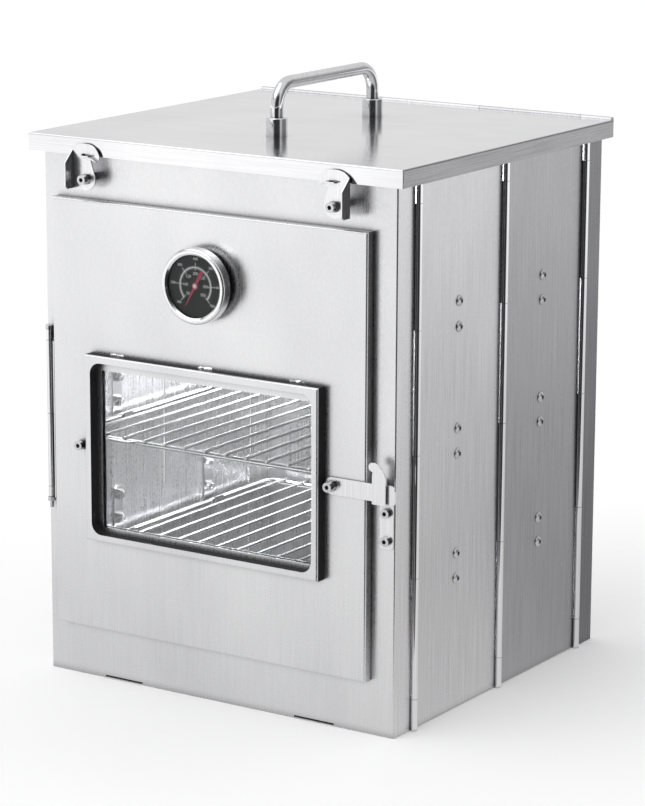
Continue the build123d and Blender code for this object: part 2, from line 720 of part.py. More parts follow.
with BuildPart() as gauge_bezel:
    with BuildSketch(Plane.XY.offset(gauge_z)):
        with BuildLine():
            outer_x = door_center_x + bezel_radius
            edge_back = (outer_x, bezel_front + bezel_lead)
            edge_front = (outer_x - bezel_edge, bezel_front)
            skirt_x = door_center_x + case_radius + bezel_case_fit
            skirt_back = bezel_front + bezel_depth + bezel_skirt
            ThreePointArc(edge_back, (outer_x - bezel_edge_mid[0], bezel_front + bezel_edge_mid[1]),
                          edge_front)
            Polyline(
                edge_front,
                (outer_x - bezel_land, bezel_front),
                (door_center_x + dial_radius, lens_front - bezel_fit),
                (door_center_x + dial_radius, dial_front - bezel_fit),
                (skirt_x, dial_front - bezel_fit),
                (skirt_x, skirt_back),
                (outer_x, skirt_back),
                edge_back,
            )
        make_face()
    revolve(axis=gauge_axis)
    rod_y(door_center_x, lens_front - bezel_fit, lens_front + lens_thickness + bezel_fit, gauge_z,
          dial_radius + 0.6, mode=Mode.SUBTRACT)
save(gauge_bezel, "gauge_bezel")

with BuildPart() as gauge_lens:
    rod_y(door_center_x, lens_front, lens_front + lens_thickness, gauge_z, dial_radius + 0.5)
save(gauge_lens, "gauge_lens")

with BuildPart() as gauge_dial:
    rod_y(door_center_x, dial_front, dial_front + dial_thickness, gauge_z, case_radius - 0.1)
    rod_y(door_center_x, dial_front - 1, dial_front + 2, gauge_z, 1.2, mode=Mode.SUBTRACT)
save(gauge_dial, "gauge_dial")

needle_back = dial_front - 0.3
needle_front = needle_back - needle_thickness
with BuildPart() as gauge_stem:
    rod_y(door_center_x, case_back - 4.5, door_face + stem_length, gauge_z, stem_radius)
    rod_y(door_center_x, case_back, door_face, gauge_z, stem_collar_radius)
    rod_y(door_center_x, needle_front - 0.2, case_back - 4, gauge_z, needle_shaft_radius)
    fillet(gauge_stem.faces().sort_by(Axis.Y)[-1].edges(), 1.2)
save(gauge_stem, "gauge_stem")

with BuildPart() as gauge_nut:
    nut_y = door_face + sheet
    hex_y(door_center_x, nut_y, nut_y + gauge_nut_height, gauge_z, gauge_nut_flat)
    rod_y(door_center_x, nut_y - 1, nut_y + gauge_nut_height + 1, gauge_z,
          stem_radius + hole_clearance, mode=Mode.SUBTRACT)
save(gauge_nut, "gauge_nut")

needle_plane = Plane(
    origin=(door_center_x, needle_back, gauge_z),
    x_dir=(cos(radians(needle_rest_angle)), 0, sin(radians(needle_rest_angle))),
    z_dir=(0, -1, 0),
)
with BuildPart() as gauge_needle:
    with BuildSketch(needle_plane):
        with BuildLine():
            Polyline((needle_tip, 0.25), (0, 0.9), (-needle_tail, 1.5), (-needle_tail, -1.5),
                     (0, -0.9), (needle_tip, -0.25), (needle_tip, 0.25))
        make_face()
        Circle(needle_hub_radius)
        Circle(needle_shaft_radius + pin_clearance, mode=Mode.SUBTRACT)
    extrude(amount=needle_thickness)
save(gauge_needle, "gauge_needle")

# ---------------------------------------------------------------- lid
with BuildPart() as lid_panel:
    block(-lid_half_width, lid_half_width, lid_front, lid_axis_y, lip_bottom, lid_top)
    rounded = lid_panel.faces().sort_by(Axis.Z)[-1].edges().sort_by(Axis.Y)[:-1]
    fillet(rounded, bend_radius)
    block(-lid_half_width + sheet, lid_half_width - sheet, lid_front + sheet, lid_axis_y + 5,
          lip_bottom - 1, lid_bottom_face, mode=Mode.SUBTRACT)
    block(-lid_half_width + sheet, lid_half_width - sheet, lid_axis_y - leaf_cut,
          lid_axis_y + 5, lid_bottom_face - 1, lid_top + 1, mode=Mode.SUBTRACT)
    for x0, x1 in lid_spans[0::2]:
        block(x0, x1, lid_axis_y - leaf_cut - 1, lid_axis_y - bore_radius - 0.3,
              lid_bottom_face, lid_top)
        rod_x(x0, x1, lid_axis_y, lid_axis_z, barrel_radius)
    rod_x(-lid_half_width + sheet, lid_half_width - sheet, lid_axis_y, lid_axis_z, bore_radius,
          mode=Mode.SUBTRACT)
    for side in (-1, 1):
        seam_x = side * (lid_half_width - sheet / 2)
        block(seam_x - sheet, seam_x + sheet, lid_front + sheet, lid_front + sheet + lid_seam,
              lip_bottom - 1, lid_top - 2 * sheet, mode=Mode.SUBTRACT)
        tab_middle = side * (hook_offset - tab_shift)
        block(tab_middle - catch_tab_width / 2, tab_middle + catch_tab_width / 2,
              lid_front - catch_tab_reach, lid_front + sheet / 2, lip_bottom,
              lip_bottom + sheet)
    for y in (-handle_span / 2, handle_span / 2):
        rod_z(0, (lid_front + lid_axis_y) / 2 + y, lid_top - 3, lid_top + 3, hole_radius,
              mode=Mode.SUBTRACT)
save(lid_panel, "lid_panel")

with BuildPart() as lid_hinge_pin:
    rod_x(-lid_hinge_half + lap_gap, lid_hinge_half - lap_gap, lid_axis_y, lid_axis_z,
          hinge_pin_radius)
    fillet(lid_hinge_pin.edges().filter_by(GeomType.CIRCLE), hinge_pin_radius / 3)
save(lid_hinge_pin, "lid_hinge_pin")

# ---------------------------------------------------------------- lid hooks
pivot_z = lip_bottom - hook_drop
hook_back = lid_front - hook_lip_gap
hook_front = hook_back - hook_sheet
tab_corner = ((hook_drop + sheet) ** 2 + (catch_tab_width / 2 + tab_shift) ** 2) ** 0.5
slot_inner = hook_drop - slot_clearance
slot_outer = tab_corner + slot_clearance
slot_angles = [radians(a) for a in (
    slot_end_angle, (slot_end_angle + slot_mouth_angle) / 2, slot_mouth_angle)]
for side, side_name in ((-1, "left"), (1, "right")):
    hook_plane = Plane(origin=(side * hook_offset, hook_back, pivot_z), x_dir=(1, 0, 0),
                       z_dir=(0, -1, 0))
    m = -side

    def at(x, z):
        return (m * x, z)

    with BuildPart() as lid_hook:
        with BuildSketch(hook_plane):
            with BuildLine():
                toe = at(-hook_outer, -hook_inner + hook_toe)
                shoulder = at(-hook_outer, hook_shoulder)
                crown = [at(*point) for point in hook_crown]
                throat = at(hook_inner, hook_throat_rise)
                heel = [at(*point) for point in hook_heel]
                Polyline(toe, shoulder)
                ThreePointArc(shoulder, crown[0], crown[1])
                ThreePointArc(*crown[1:])
                Polyline(crown[3], *[at(*point) for point in hook_barb], throat)
                ThreePointArc(throat, *heel)
                Polyline(heel[1], toe)
            make_face()
            with BuildLine():
                near, far = [[at(r * cos(a), r * sin(a)) for a in slot_angles]
                             for r in (slot_inner, slot_outer)]
                ThreePointArc(*near)
                Line(near[2], far[2])
                ThreePointArc(*far[::-1])
                Line(far[0], near[0])
            make_face(mode=Mode.SUBTRACT)
            Circle(pivot_radius, mode=Mode.SUBTRACT)
        extrude(amount=hook_sheet)
        outer_x = side * (hook_offset + hook_outer)
        reach = hook_sheet + hook_flange
        with BuildSketch(Plane.YZ.offset(outer_x)):
            with BuildLine():
                foot_z = pivot_z - hook_inner + hook_toe
                Polyline((hook_back, foot_z),
                         (hook_back - reach + flange_step, foot_z),
                         (hook_back - reach, foot_z + flange_step),
                         (hook_back - reach, pivot_z + flange_rise),
                         (hook_back - hook_sheet, pivot_z + hook_shoulder),
                         (hook_back, pivot_z + hook_shoulder),
                         (hook_back, foot_z))
            make_face()
        extrude(amount=-side * hook_sheet)
    save(lid_hook, side_name + "_lid_hook")

hook_nut_back = hook_front - lap_gap
hook_spacer_front = hook_back + lap_gap
with BuildPart() as hook_spacers:
    for side in (-1, 1):
        rod_y(side * hook_offset, hook_spacer_front, y_front, pivot_z, nut_flat / 2)
        rod_y(side * hook_offset, hook_spacer_front - 1, y_front + 1, pivot_z, hole_radius,
              mode=Mode.SUBTRACT)
save(hook_spacers, "hook_spacers")

with BuildPart() as hook_screws:
    for side in (-1, 1):
        cap_screw(side * hook_offset, pivot_z, hook_nut_back - nut_height + hook_nut_relief,
                  y_front + sheet + nut_height + screw_tail)
save(hook_screws, "hook_screws")

with BuildPart() as shell_nuts:
    for side in (-1, 1):
        hex_y(side * hook_offset, hook_nut_back - nut_height + hook_nut_relief, hook_nut_back, pivot_z,
              nut_flat)
        rod_y(side * hook_offset, hook_nut_back - nut_height - 1, hook_nut_back + 1, pivot_z,
              hole_radius, mode=Mode.SUBTRACT)
        hex_nut(side * hook_offset, pivot_z, y_front + sheet)
    for z in catch_screw_z:
        hex_nut(catch_center_x, z, y_front + sheet)
save(shell_nuts, "shell_nuts")

# ---------------------------------------------------------------- folding handle
handle_y = (lid_front + lid_axis_y) / 2
foot_y = (handle_y - handle_span / 2, handle_y + handle_span / 2)
pin_z = lid_top + handle_pin_height
channel = handle_rod_radius + rod_clearance
with BuildPart() as handle_feet:
    for y in foot_y:
        rod_z(0, y, lid_top, lid_top + foot_height, foot_radius)
    fillet(handle_feet.faces().group_by(Axis.Z)[-1].edges(), 1.0)
    for y in foot_y:
        rod_z(0, y, lid_top + foot_floor, lid_top + foot_height + 1, channel,
              mode=Mode.SUBTRACT)
        block(-foot_radius - 1, 0, y - channel, y + channel, lid_top + foot_floor,
              lid_top + foot_height + 1, mode=Mode.SUBTRACT)
        rod_y(0, y - foot_radius - 1, y + foot_radius + 1, pin_z,
              handle_pin_radius + pin_clearance, mode=Mode.SUBTRACT)
        rod_z(0, y, lid_top - 1, lid_top + foot_floor + 1, hole_radius, mode=Mode.SUBTRACT)
save(handle_feet, "handle_feet")

with BuildPart() as handle_bail:
    rod_top = lid_top + handle_rise - handle_rod_radius
    with BuildLine(Plane.YZ):
        FilletPolyline((foot_y[0], pin_z), (foot_y[0], rod_top), (foot_y[1], rod_top),
                       (foot_y[1], pin_z), radius=handle_bend)
    with BuildSketch(Plane.XY.offset(pin_z)):
        with Locations((0, foot_y[0])):
            Circle(handle_rod_radius)
    sweep()
    for y in foot_y:
        with Locations((0, y, pin_z)):
            Sphere(handle_rod_radius)
        rod_y(0, y - foot_radius, y + foot_radius, pin_z, handle_pin_radius + pin_clearance,
              mode=Mode.SUBTRACT)
save(handle_bail, "handle_bail")

with BuildPart() as handle_pins:
    for y in foot_y:
        rod_y(0, y - foot_radius - 0.3, y + foot_radius + 0.3, pin_z, handle_pin_radius)
save(handle_pins, "handle_pins")

with BuildPart() as handle_screws:
    for y in foot_y:
        rod_z(0, y, lid_bottom_face - 0.1, lid_top + foot_floor - 0.5, screw_radius)
        rod_z(0, y, lid_bottom_face - button_height, lid_bottom_face, button_radius)
save(handle_screws, "handle_screws")
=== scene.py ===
import bmesh
import bpy
import math
from mathutils import Matrix, Vector


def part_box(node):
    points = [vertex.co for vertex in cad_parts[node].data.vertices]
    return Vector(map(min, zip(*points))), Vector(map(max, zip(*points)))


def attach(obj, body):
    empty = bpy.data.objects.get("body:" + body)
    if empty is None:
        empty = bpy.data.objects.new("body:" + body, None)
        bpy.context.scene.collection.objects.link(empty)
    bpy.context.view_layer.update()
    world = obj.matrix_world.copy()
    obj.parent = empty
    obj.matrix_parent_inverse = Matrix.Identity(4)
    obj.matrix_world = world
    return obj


# Folding steel smoker cabinet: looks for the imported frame. Metres, +Z up, -Y the door side.

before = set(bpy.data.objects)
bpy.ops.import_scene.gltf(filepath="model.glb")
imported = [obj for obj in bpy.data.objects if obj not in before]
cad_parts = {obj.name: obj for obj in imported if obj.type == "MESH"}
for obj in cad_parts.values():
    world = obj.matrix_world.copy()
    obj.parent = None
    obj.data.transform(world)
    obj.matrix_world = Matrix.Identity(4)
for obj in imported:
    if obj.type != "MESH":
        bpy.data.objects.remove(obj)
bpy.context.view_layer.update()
scene = bpy.context.scene
# the default view transform can't reach the photo's white
scene.view_settings.view_transform = "Standard"

# ---------------------------------------------------------------- camera
LENS_MM = 142.03
SENSOR_MM = 36.0
CAMERA_PLACE = Vector((1.26834, -1.93397, 0.72859))
YAW = math.radians(33.2108)
PITCH = math.radians(12.956)
ROLL = math.radians(0.2144)
CLIP_END = 60.0

forward = Vector((-math.sin(YAW) * math.cos(PITCH), math.cos(YAW) * math.cos(PITCH),
                  -math.sin(PITCH)))
right = Vector((math.cos(YAW), math.sin(YAW), 0.0))
up = right.cross(forward)
turn = Matrix((right, up, -forward)).transposed().to_4x4()
camera_data = bpy.data.cameras.new("camera")
camera_data.sensor_width = SENSOR_MM
camera_data.lens = LENS_MM
camera_data.clip_end = CLIP_END
camera = bpy.data.objects.new("camera", camera_data)
scene.collection.objects.link(camera)
camera.matrix_world = Matrix.Translation(CAMERA_PLACE) @ turn @ Matrix.Rotation(ROLL, 4, "Z")
scene.camera = camera


# ---------------------------------------------------------------- node helpers
class Graph:
    """The nodes of a material or of the world, made with short calls."""

    def __init__(self, tree):
        self.tree = tree
        tree.nodes.clear()

    def node(self, kind, values=None, **settings):
        made = self.tree.nodes.new(kind)
        for key, value in settings.items():
            setattr(made, key, value)
        for key, value in (values or {}).items():
            made.inputs[key].default_value = value
        return made

    def link(self, source, target):
        self.tree.links.new(source, target)

    def grain(self, scale, detail=3.0, roughness=0.6):
        """Noise stretched by scale, which is in cycles a metre on each axis."""
        place = self.node("ShaderNodeTexCoord")
        stretch = self.node("ShaderNodeMapping", {"Scale": scale})
        noise = self.node("ShaderNodeTexNoise",
                          {"Scale": 1.0, "Detail": detail, "Roughness": roughness})
        self.link(place.outputs["Object"], stretch.inputs["Vector"])
        self.link(stretch.outputs["Vector"], noise.inputs["Vector"])
        return noise.outputs["Fac"]

    def spread(self, source, low, high, start=0.3, end=0.7):
        """source remapped from start..end to low..high."""
        made = self.node("ShaderNodeMapRange", {"From Min": start, "From Max": end,
                                                "To Min": low, "To Max": high})
        self.link(source, made.inputs["Value"])
        return made.outputs["Result"]

    def tones(self, source, dark, light, start=0.35, end=0.65):
        """A colour from dark at start to light at end."""
        ramp = self.node("ShaderNodeValToRGB")
        ramp.color_ramp.elements[0].position = start
        ramp.color_ramp.elements[0].color = (*dark, 1.0)
        ramp.color_ramp.elements[1].position = end
        ramp.color_ramp.elements[1].color = (*light, 1.0)
        self.link(source, ramp.inputs["Fac"])
        return ramp.outputs["Color"]


def new_material(name):
    made = bpy.data.materials.new(name)
    made.use_nodes = True
    return made, Graph(made.node_tree)


def grey(level, cast=0.01):
    return (level, level, level + cast)


# grain of the brushed sheet along each axis, and of the other finishes, in cycles a metre
BRUSHED = 1100.0
ALONG = 14.0
VERTICAL = (BRUSHED, BRUSHED, ALONG)
ACROSS = (ALONG, BRUSHED, BRUSHED)
FRONT_TO_BACK = (BRUSHED, ALONG, BRUSHED)
ALL_WAYS = (420.0, 420.0, 420.0)
BROAD = (9.0, 9.0, 5.0)
SMEARS = (60.0, 60.0, 22.0)
MOTTLE = (900.0, 900.0, 900.0)

FINE_DETAIL = 4.0
BROAD_DETAIL = 2.0
GRAIN_DEPTH = 0.00006
WASH_DARK = 0.90
FLECK_SMOOTHER = -0.02
FLECK_ROUGHER = 0.03
# ambient occlusion for the painted shade in corners and gaps: its samples, and the occlusion at
# which the shade is full and at which it ends
OCCLUSION_SAMPLES = 6
CORNER_DARK = 0.15
CORNER_OPEN = 0.8

GLASS_TINT = (0.965, 0.975, 0.972, 1.0)
SMEAR_ROUGHER = 0.05

PAINT_SMOOTHER = 0.05
PAINT_ROUGHER = 0.08
PAINT_BUMP = 0.08
PAINT_DEPTH = 0.00004


def steel(name, tone, rough, scale, bump=0.10, crevice_shade=0.45, reach=0.009):
    """Sheet or plated steel: fine grain in colour, roughness and relief, broad variation,
    and painted shade, a darker tone down to crevice in corners and gaps within reach of
    other faces. tone and rough are pairs, the low and the high end of the grain."""
    made, graph = new_material(name)
    fine = graph.grain(scale, FINE_DETAIL)
    broad = graph.grain(BROAD, BROAD_DETAIL)
    fleck = graph.grain(ALL_WAYS, BROAD_DETAIL)
    shader = graph.node("ShaderNodeBsdfPrincipled", {"Metallic": 1.0})
    dark, light = tone
    colour = graph.tones(fine, grey(dark), grey(light))
    wash = graph.tones(broad, grey(WASH_DARK), grey(1.0, 0.0))
    mixed = graph.node("ShaderNodeMix", data_type="RGBA", blend_type="MULTIPLY")
    mixed.inputs[0].default_value = 1.0
    graph.link(colour, mixed.inputs[6])
    graph.link(wash, mixed.inputs[7])
    # painted shade: the colour darkens where other faces are near
    openness = graph.node("ShaderNodeAmbientOcclusion", {"Distance": reach},
                          samples=OCCLUSION_SAMPLES)
    corner = graph.tones(openness.outputs["AO"], grey(crevice_shade, 0.0), grey(1.0, 0.0),
                         CORNER_DARK, CORNER_OPEN)
    shaded = graph.node("ShaderNodeMix", data_type="RGBA", blend_type="MULTIPLY")
    shaded.inputs[0].default_value = 1.0
    graph.link(mixed.outputs[2], shaded.inputs[6])
    graph.link(corner, shaded.inputs[7])
    graph.link(shaded.outputs[2], shader.inputs["Base Color"])
    sum_rough = graph.node("ShaderNodeMath", operation="ADD")
    graph.link(graph.spread(fine, *rough), sum_rough.inputs[0])
    graph.link(graph.spread(fleck, FLECK_SMOOTHER, FLECK_ROUGHER), sum_rough.inputs[1])
    graph.link(sum_rough.outputs["Value"], shader.inputs["Roughness"])
    relief = graph.node("ShaderNodeBump", {"Strength": bump, "Distance": GRAIN_DEPTH})
    graph.link(fine, relief.inputs["Height"])
    graph.link(relief.outputs["Normal"], shader.inputs["Normal"])
    output = graph.node("ShaderNodeOutputMaterial")
    graph.link(shader.outputs["BSDF"], output.inputs["Surface"])
    return made


def clear(name, rough, ior):
    """Thin clear glass: mostly see-through, with a Fresnel gloss and faint smears."""
    made, graph = new_material(name)
    smear = graph.grain(SMEARS)
    sight = graph.node("ShaderNodeBsdfTransparent", {"Color": GLASS_TINT})
    gloss = graph.node("ShaderNodeBsdfGlossy")
    graph.link(graph.spread(smear, rough, rough + SMEAR_ROUGHER), gloss.inputs["Roughness"])
    edge = graph.node("ShaderNodeFresnel", {"IOR": ior})
    blend = graph.node("ShaderNodeMixShader")
    graph.link(edge.outputs["Fac"], blend.inputs["Fac"])
    graph.link(sight.outputs["BSDF"], blend.inputs[1])
    graph.link(gloss.outputs["BSDF"], blend.inputs[2])
    output = graph.node("ShaderNodeOutputMaterial")
    graph.link(blend.outputs["Shader"], output.inputs["Surface"])
    return made


def paint(name, dark, light, rough, glow=0.0, shine=0.5):
    """Printed or enamelled paint with a fine mottle. glow is light of its own, and shine is
    the specular level."""
    made, graph = new_material(name)
    mottle = graph.grain(MOTTLE)
    shader = graph.node("ShaderNodeBsdfPrincipled",
                        {"Metallic": 0.0, "Emission Color": (1.0, 1.0, 1.0, 1.0),
                         "Emission Strength": glow, "Specular IOR Level": shine})
    graph.link(graph.tones(mottle, dark, light), shader.inputs["Base Color"])
    graph.link(graph.spread(mottle, rough - PAINT_SMOOTHER, rough + PAINT_ROUGHER),
               shader.inputs["Roughness"])
    relief = graph.node("ShaderNodeBump", {"Strength": PAINT_BUMP, "Distance": PAINT_DEPTH})
    graph.link(mottle, relief.inputs["Height"])
    graph.link(relief.outputs["Normal"], shader.inputs["Normal"])
    output = graph.node("ShaderNodeOutputMaterial")
    graph.link(shader.outputs["BSDF"], output.inputs["Surface"])
    return made


# front_steel is the sheet's own tone. The copy for faces looking into the cabinet is lighter, as
# painted light, and the copies for the flanges, the sides, the rear, the rear flanges and the
# lid's lips are darker, as painted shade.
front_steel = steel("front_steel", tone=(0.80, 0.86), rough=(0.24, 0.34), scale=VERTICAL,
                    bump=0.07, crevice_shade=0.10)
inner_lit_steel = steel("inner_lit_steel", tone=(0.88, 0.94), rough=(0.24, 0.32), scale=VERTICAL,
                    bump=0.03)
ring_steel = steel("ring_steel", tone=(0.86, 0.94), rough=(0.3, 0.4), scale=ALL_WAYS,
                   bump=0.04, crevice_shade=0.9)
barrel_steel = steel("barrel_steel", tone=(0.84, 0.92), rough=(0.05, 0.12), scale=VERTICAL,
                     bump=0.04, crevice_shade=0.2, reach=0.004)
flange_shaded_steel = steel("flange_shaded_steel", tone=(0.70, 0.82), rough=(0.22, 0.34), scale=VERTICAL,
                     bump=0.12)
side_shaded_steel = steel("side_shaded_steel", tone=(0.60, 0.74), rough=(0.24, 0.36), scale=VERTICAL,
                   bump=0.14)
rear_shaded_steel = steel("rear_shaded_steel", tone=(0.37, 0.49), rough=(0.24, 0.36), scale=VERTICAL,
                   bump=0.14)
rear_flange_shaded_steel = steel("rear_flange_shaded_steel", tone=(0.17, 0.26), rough=(0.22, 0.34),
                          scale=VERTICAL, bump=0.12)
lid_steel = steel("lid_steel", tone=(0.82, 0.90), rough=(0.10, 0.17), scale=ACROSS, bump=0.04)
lip_shaded_steel = steel("lip_shaded_steel", tone=(0.28, 0.40), rough=(0.18, 0.3), scale=FRONT_TO_BACK,
                  bump=0.12)
bright_steel = steel("bright_steel", tone=(0.82, 0.92), rough=(0.16, 0.26), scale=VERTICAL)
tray_steel = steel("tray_steel", tone=(0.15, 0.22), rough=(0.26, 0.38), scale=ACROSS)
wire_steel = steel("wire_steel", tone=(0.84, 0.92), rough=(0.10, 0.18), scale=ALL_WAYS,
                   bump=0.04)
chrome = steel("chrome", tone=(0.74, 0.84), rough=(0.03, 0.07), scale=ALL_WAYS, bump=0.02)
bezel_steel = steel("bezel_steel", tone=(0.86, 0.94), rough=(0.12, 0.2), scale=ALL_WAYS,
                    bump=0.05)
fastener = steel("fastener", tone=(0.58, 0.72), rough=(0.12, 0.24), scale=ALL_WAYS, bump=0.06)
pin_steel = steel("pin_steel", tone=(0.46, 0.6), rough=(0.2, 0.32), scale=VERTICAL)
glass = clear("clear_glass", rough=0.01, ior=1.45)
lens_glass = clear("lens_glass", rough=0.01, ior=1.2)
# painted shade: near-black for the window frame's inner walls and the tray's front faces, where
# shade falls
painted_recess_shade = paint("painted_recess_shade", dark=(0.012, 0.012, 0.013), light=(0.028, 0.028, 0.03),
                    rough=0.5, shine=0.15)
dial_black = paint("dial_black", dark=(0.006, 0.006, 0.007), light=(0.018, 0.018, 0.02),
                   rough=0.55)
print_white = paint("print_white", dark=(0.72, 0.72, 0.72), light=(0.85, 0.85, 0.85), rough=0.5)
needle_red = paint("needle_red", dark=(0.42, 0.03, 0.07), light=(0.6, 0.06, 0.11), rough=0.38)

# ---------------------------------------------------------------- finishes on the CAD nodes
# the first part of a name that fits a node gives its finish
FINISH_RULES = (
    ("_bracket", bright_steel),
    ("hinge_pin", pin_steel),
    ("lid_panel", lid_steel),
    ("front_shell", front_steel),
    ("door_panel", front_steel),
    ("back_shell", side_shaded_steel),
    ("rear_panel", rear_shaded_steel),
    ("_panel", side_shaded_steel),
    ("window_frame", front_steel),
    ("glass_retainer", ring_steel),
    ("window_glass", glass),
    ("gauge_lens", lens_glass),
    ("gauge_dial", dial_black),
    ("gauge_needle", needle_red),
    ("gauge_bezel", bezel_steel),
    ("gauge_case", bright_steel),
    ("_rack", wire_steel),
    ("handle_screws", fastener),
    ("handle_", chrome),
    ("floor_tray", tray_steel),
    ("screws", fastener),
    ("nut", fastener),
    ("bolt", fastener),
    ("spacers", fastener),
    ("stem", fastener),
    ("hook", bright_steel),
    ("latch", bright_steel),
    ("leaf", bright_steel),
)
for name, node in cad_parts.items():
    finish = next((made for part, made in FINISH_RULES if part in name), None)
    if finish is None:
        raise ValueError("no finish for node " + name)
    node.data.materials.clear()
    node.data.materials.append(finish)

# a face looks along an axis when its normal's share on that axis is above SIDEWAYS
SIDEWAYS = 0.6
# half the depth that the window frame's front keeps in its own finish
ROUND = 0.0007
# a little over a rolled barrel's radius, and how far a barrel's faces stand past the panel's
BARREL = 0.0026
BARREL_PROUD = 0.0015
frame_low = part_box("window_frame")[0]
sheet_face = abs(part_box("right_front_middle_bracket")[1].x)


def part_finishes(name, extra, choose):
    """Adds finishes to a node, and gives each face the one that choose(face) numbers, where 0
    is the node's own."""
    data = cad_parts[name].data
    for made in extra:
        data.materials.append(made)
    data.polygons.foreach_set("material_index", [choose(face) for face in data.polygons])


def side_face(face):
    """1 on a rolled barrel, 2 on a face looking into the cabinet, which gets a lighter copy of
    the steel as painted light, 3 on one looking out, which gets a darker copy as painted shade,
    and 0 on the rest."""
    if abs(face.center.x) > sheet_face + BARREL_PROUD:
        return 1
    if face.normal.x * face.center.x < 0 and abs(face.normal.x) > SIDEWAYS:
        return 2
    return 3 if abs(face.normal.x) > SIDEWAYS else 0


# faces looking out get the darker painted-shade copies, and those looking in get the lighter
# painted-light copy
for side in ("left", "right"):
    for place, outer in (("front", side_shaded_steel), ("rear", rear_shaded_steel)):
        part_finishes(side + "_" + place + "_panel", (barrel_steel, inner_lit_steel, outer), side_face)
part_finishes("front_shell", (barrel_steel, inner_lit_steel, flange_shaded_steel), side_face)
part_finishes("back_shell", (barrel_steel, inner_lit_steel, rear_flange_shaded_steel), side_face)
lid_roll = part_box("lid_panel")[1].y - 2 * BARREL


def lid_face(face):
    """1 on the side lips and 2 on the roll along the back edge, both darker copies of the steel
    as painted shade, and 0 on the rest.
    """
    if abs(face.normal.x) > SIDEWAYS:
        return 1
    return 2 if face.center.y > lid_roll else 0


part_finishes("lid_panel", (lip_shaded_steel, flange_shaded_steel), lid_face)
# painted shade on the tray's front faces and on the window frame's walls behind its front
part_finishes("floor_tray", (painted_recess_shade,), lambda face: int(face.normal.y < -SIDEWAYS))
part_finishes("window_frame", (painted_recess_shade,), lambda face: int(
    abs(face.normal.y) < SIDEWAYS and face.center.y > frame_low.y + 2 * ROUND))


# ---------------------------------------------------------------- printed scale on the dial
def mesh_piece(name, build, material, body):
    sheet = bmesh.new()
    build(sheet)
    data = bpy.data.meshes.new(name)
    sheet.to_mesh(data)
    sheet.free()
    data.materials.append(material)
    piece = bpy.data.objects.new(name, data)
    scene.collection.objects.link(piece)
    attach(piece, body)


dial_low, dial_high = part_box("gauge_dial")
dial_middle = (dial_low + dial_high) / 2
DIAL_RADIUS = (dial_high.x - dial_low.x) / 2
PRINT_PROUD = 0.00004
PRINT_THICK = 0.00003
SCALE_START = 222.0
SCALE_END = -42.0
RING_STEPS = 96
# radii and widths on the dial, as shares of its radius
RING = 0.53
RING_HALF = 0.018
TICK_OVERLAP = 0.01
LONG_TICK_HALF = 0.5
INNER_TICKS = 60
INNER_LONG_EVERY = 10
INNER_LONG = 0.085
INNER_SHORT = 0.055
INNER_SHORT_HALF = 0.26
OUTER_TICKS = 48
OUTER_LONG_EVERY = 8
OUTER_LONG = 0.13
OUTER_SHORT = 0.055
OUTER_SHORT_HALF = 0.25
NUMBERS = 7
INNER_STEP = 50
INNER_NUMBERS = 0.35
OUTER_STEP = 100
OUTER_NUMBERS = 0.77
# heights of the digits, and the steps in each of their curves
INNER_HEIGHT = 0.0031
OUTER_HEIGHT = 0.0028
DIGIT_CURVE_STEPS = 3
print_front = dial_low.y - PRINT_PROUD


def dial_point(radius, degrees, y):
    angle = math.radians(degrees)
    return Vector((dial_middle.x + DIAL_RADIUS * radius * math.cos(angle), y,
                   dial_middle.z + DIAL_RADIUS * radius * math.sin(angle)))


def slab(sheet, outline):
    """A thin printed shape from a list of (radius, degrees)."""
    front = [sheet.verts.new(dial_point(r, a, print_front)) for r, a in outline]
    back = [sheet.verts.new(dial_point(r, a, print_front + PRINT_THICK)) for r, a in outline]
    sheet.faces.new(front)
    sheet.faces.new(back[::-1])
    count = len(outline)
    for k in range(count):
        following = (k + 1) % count
        sheet.faces.new((front[following], front[k], back[k], back[following]))


def ring(sheet, inner, outer, start, end):
    rows = []
    for k in range(RING_STEPS + 1):
        degrees = start + (end - start) * k / RING_STEPS
        rows.append([sheet.verts.new(dial_point(r, degrees, y))
                     for r, y in ((inner, print_front), (outer, print_front),
                                  (outer, print_front + PRINT_THICK),
                                  (inner, print_front + PRINT_THICK))])
    for before, after in zip(rows, rows[1:]):
        for k in range(4):
            sheet.faces.new((before[k], before[(k + 1) % 4], after[(k + 1) % 4], after[k]))
    sheet.faces.new(rows[0][::-1])
    sheet.faces.new(rows[-1])


def tick(sheet, inner, outer, degrees, half_width):
    """A mark along a radius. half_width is in degrees at the dial's edge."""
    slab(sheet, ((inner, degrees + half_width / inner), (outer, degrees + half_width / outer),
                 (outer, degrees - half_width / outer), (inner, degrees - half_width / inner)))


def number(sheet, text, radius, degrees, height):
    """Digits facing out of the dial, upright, centred on a point of it."""
    font = bpy.data.curves.new("digits", "FONT")
    font.body = text
    font.size = height
    font.align_x = "CENTER"
    font.align_y = "CENTER"
    font.extrude = PRINT_THICK / 2
    font.resolution_u = DIGIT_CURVE_STEPS
    holder = bpy.data.objects.new("digits", font)
    scene.collection.objects.link(holder)
    bpy.context.view_layer.update()
    outline = bpy.data.meshes.new_from_object(
        holder.evaluated_get(bpy.context.evaluated_depsgraph_get()))
    place = Matrix.Translation(dial_point(radius, degrees, print_front + PRINT_THICK / 2))
    outline.transform(place @ Matrix.Rotation(math.radians(90.0), 4, "X"))
    sheet.from_mesh(outline)
    bpy.data.objects.remove(holder)
    bpy.data.curves.remove(font)
    bpy.data.meshes.remove(outline)


def scale_angle(share):
    """The direction of a share of the scale, in degrees from +X."""
    return SCALE_START + (SCALE_END - SCALE_START) * share


